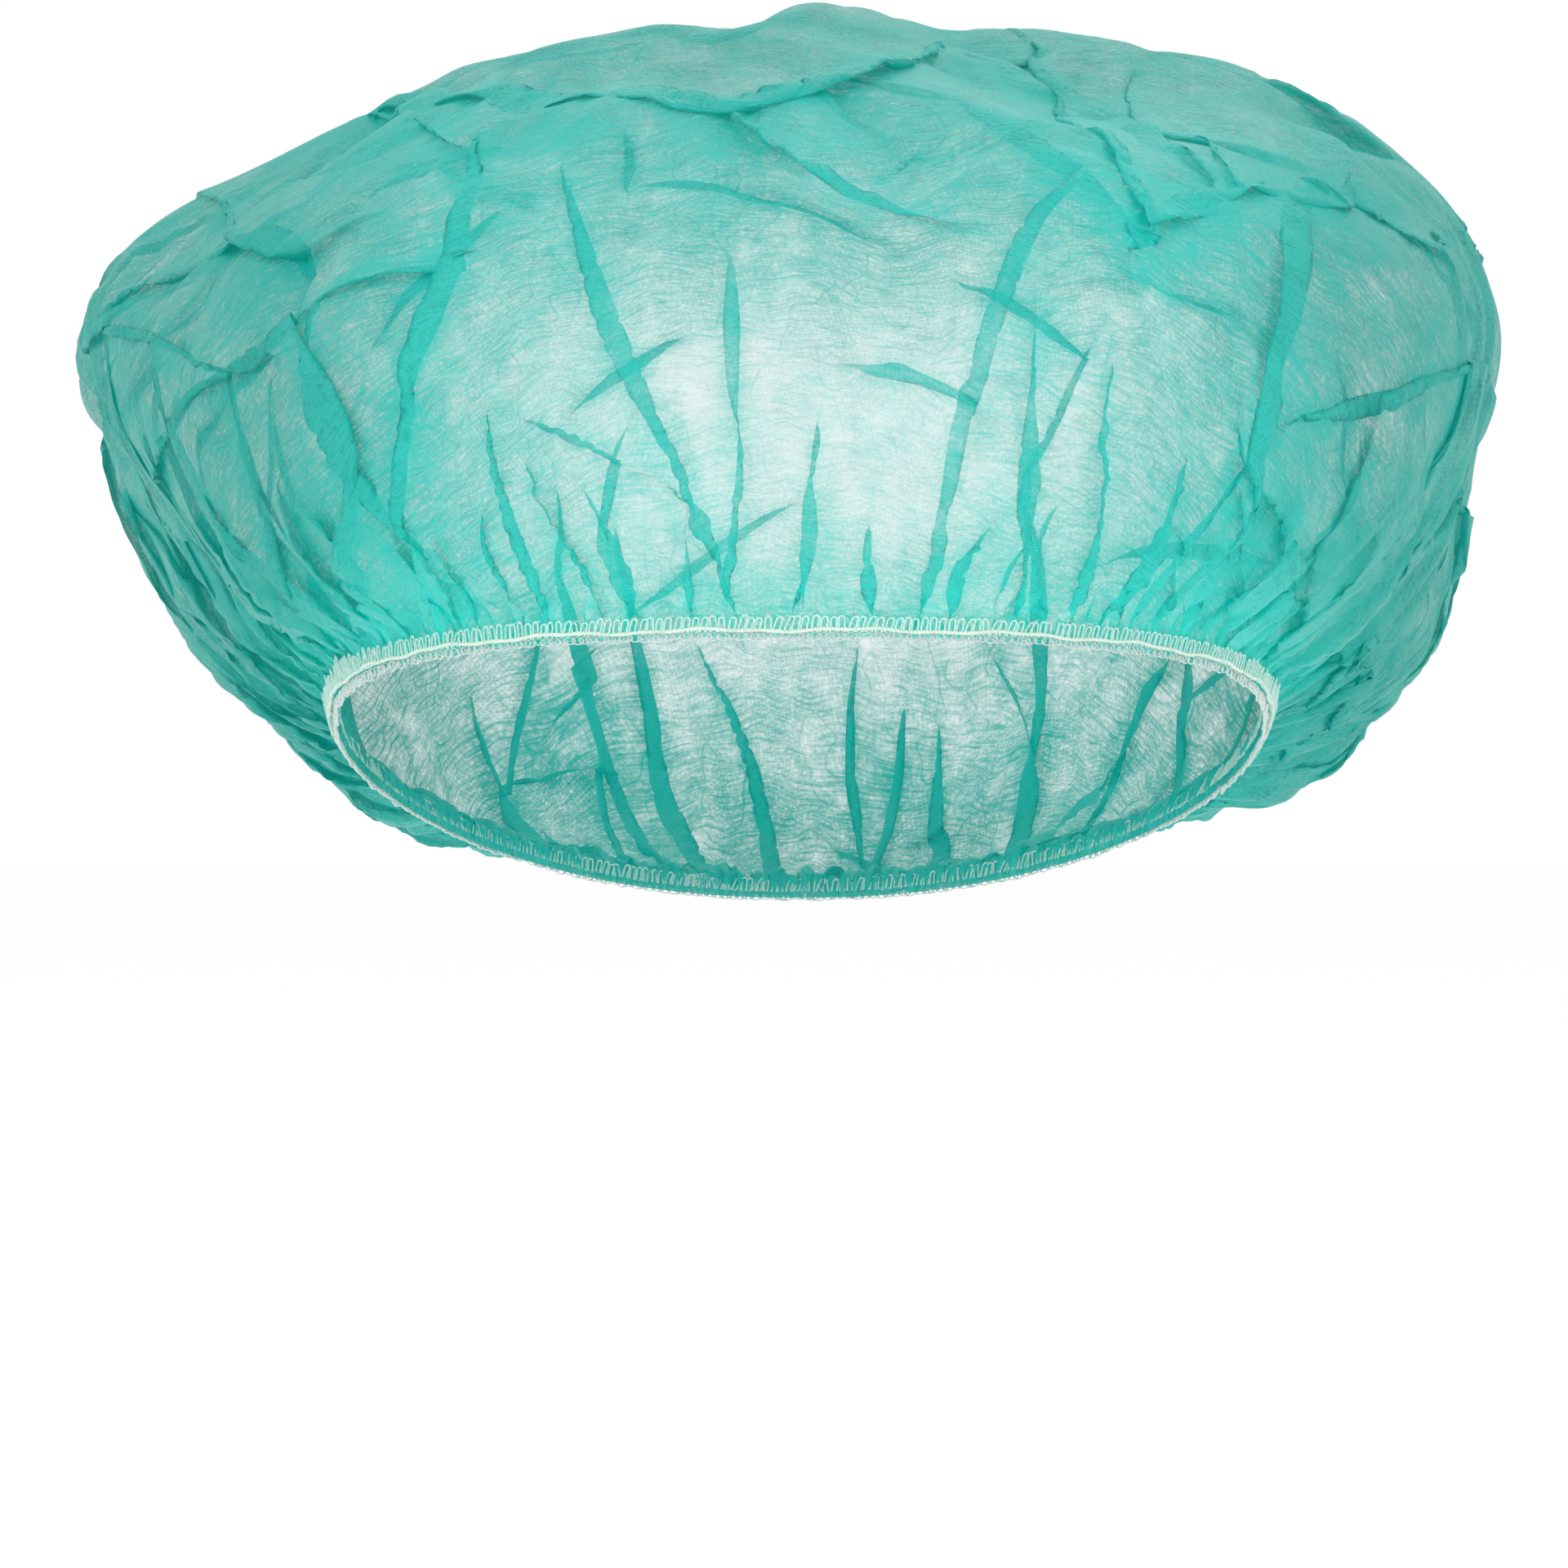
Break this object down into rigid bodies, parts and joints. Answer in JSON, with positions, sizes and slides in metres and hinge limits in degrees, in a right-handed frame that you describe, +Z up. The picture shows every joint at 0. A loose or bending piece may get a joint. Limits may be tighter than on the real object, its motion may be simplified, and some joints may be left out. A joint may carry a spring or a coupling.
{
  "type": "disposable hair cover cap",
  "caption": "Puffed disposable hair cover of thin green non-woven cloth, gathered onto an elastic band round its head opening.",
  "frame": {"origin": "middle of the head opening, where the cap sits on a head", "axes": "+Z up through the top of the crown, -Y towards the forehead, +Y towards the nape, +X towards the wearer's left"},
  "size_m": [0.2443, 0.2654, 0.1554],
  "materials": {
    "non_woven_cloth": "thin, see-through green spunbond cloth, matt, random fibres with small bonded points",
    "elastic": "cream covered elastic, matt"
  },
  "bodies": {
    "root": {"crown": "non_woven_cloth", "elastic_band": "elastic"}
  },
  "joints": []
}
